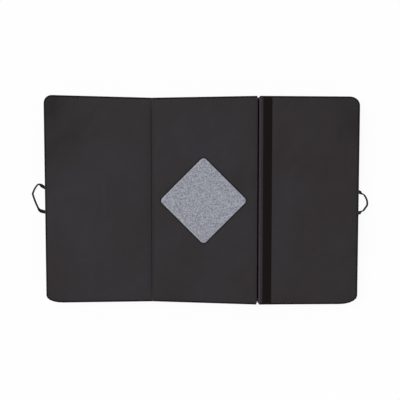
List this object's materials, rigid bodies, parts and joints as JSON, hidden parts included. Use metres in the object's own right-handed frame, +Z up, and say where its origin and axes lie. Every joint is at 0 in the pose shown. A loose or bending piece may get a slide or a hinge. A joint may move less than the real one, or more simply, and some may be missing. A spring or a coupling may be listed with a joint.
{
  "type": "bouldering crash pad",
  "caption": "Folding bouldering crash pad lying open and flat, with a carpet patch, a hook-and-loop strip beside the open fold and webbing handles at both ends.",
  "frame": {"origin": "on the floor, at the middle of the open length and width", "axes": "+X along the open length towards the panel with the hook-and-loop strip, +Y across to the rear, +Z up"},
  "size_m": [1.9341, 1.1968, 0.1063],
  "materials": {
    "cover": "tightly woven coated nylon, matt with a slight sheen",
    "base": "heavy coated nylon, matt",
    "piping": "woven tape over cord",
    "edge_tape": "ribbed binding tape",
    "hinge": "woven nylon",
    "strip": "looped pile",
    "carpet": "heather-grey felted carpet",
    "webbing": "ribbed nylon webbing",
    "closed_foam": "closed-cell polyethylene foam",
    "open_foam": "open-cell polyurethane foam",
    "buckle": "moulded acetal"
  },
  "bodies": {
    "middle_panel": {"middle_top_sheet": "cover", "middle_side_wall": "cover", "middle_base_cover": "base", "middle_top_foam": "closed_foam", "middle_core_foam": "open_foam", "middle_base_foam": "closed_foam", "middle_rear_piping": "piping", "middle_front_piping": "piping", "top_hinge_strip": "hinge", "bottom_hinge_strip": "hinge", "carpet_patch": "carpet"},
    "left_panel": {"left_top_sheet": "cover", "left_side_wall": "cover", "left_base_cover": "base", "left_top_foam": "closed_foam", "left_core_foam": "open_foam", "left_base_foam": "closed_foam", "left_piping": "piping", "left_handle_rear_tab": "webbing", "left_handle_front_tab": "webbing", "inner_shoulder_pad": "webbing", "inner_ladder_lock": "buckle", "inner_shoulder_webbing": "webbing", "inner_shoulder_anchor": "webbing", "outer_shoulder_pad": "webbing", "outer_ladder_lock": "buckle", "outer_shoulder_webbing": "webbing", "outer_shoulder_anchor": "webbing"},
    "right_panel": {"right_top_sheet": "cover", "right_side_wall": "cover", "right_base_cover": "base", "right_top_foam": "closed_foam", "right_core_foam": "open_foam", "right_base_foam": "closed_foam", "right_piping": "piping", "hook_and_loop_strip": "strip", "bound_fold_edge": "edge_tape", "right_handle_rear_tab": "webbing", "right_handle_front_tab": "webbing"},
    "left_handle_loop": {"left_handle": "webbing"},
    "right_handle_loop": {"right_handle": "webbing"},
    "rear_closing_strap": {"rear_closing_strap": "webbing", "rear_closing_hook": "strip"},
    "front_closing_strap": {"front_closing_strap": "webbing", "front_closing_hook": "strip"}
  },
  "joints": [
    {"name": "left_panel_fold", "type": "hinge", "parent": "middle_panel", "child": "left_panel", "pos_m": [-0.283, 0, 0.1035], "axis": [0, 1, 0], "range_deg": [0, 177]},
    {"name": "right_panel_fold", "type": "hinge", "parent": "middle_panel", "child": "right_panel", "pos_m": [0.3205, 0, 0], "axis": [0, 1, 0], "range_deg": [0, 178]},
    {"name": "left_handle_swing", "type": "hinge", "parent": "left_panel", "child": "left_handle_loop", "pos_m": [-0.8955, 0, 0.0882], "axis": [0, 1, 0], "range_deg": [-60, 25]},
    {"name": "right_handle_swing", "type": "hinge", "parent": "right_panel", "child": "right_handle_loop", "pos_m": [0.8955, 0, 0.0882], "axis": [0, -1, 0], "range_deg": [-20, 65]},
    {"name": "rear_closing_strap_swing", "type": "hinge", "parent": "left_panel", "child": "rear_closing_strap", "pos_m": [-0.876, 0.43, 0.0008], "axis": [0, 1, 0], "range_deg": [0, 180]},
    {"name": "front_closing_strap_swing", "type": "hinge", "parent": "left_panel", "child": "front_closing_strap", "pos_m": [-0.876, -0.43, 0.0008], "axis": [0, 1, 0], "range_deg": [0, 180]}
  ]
}
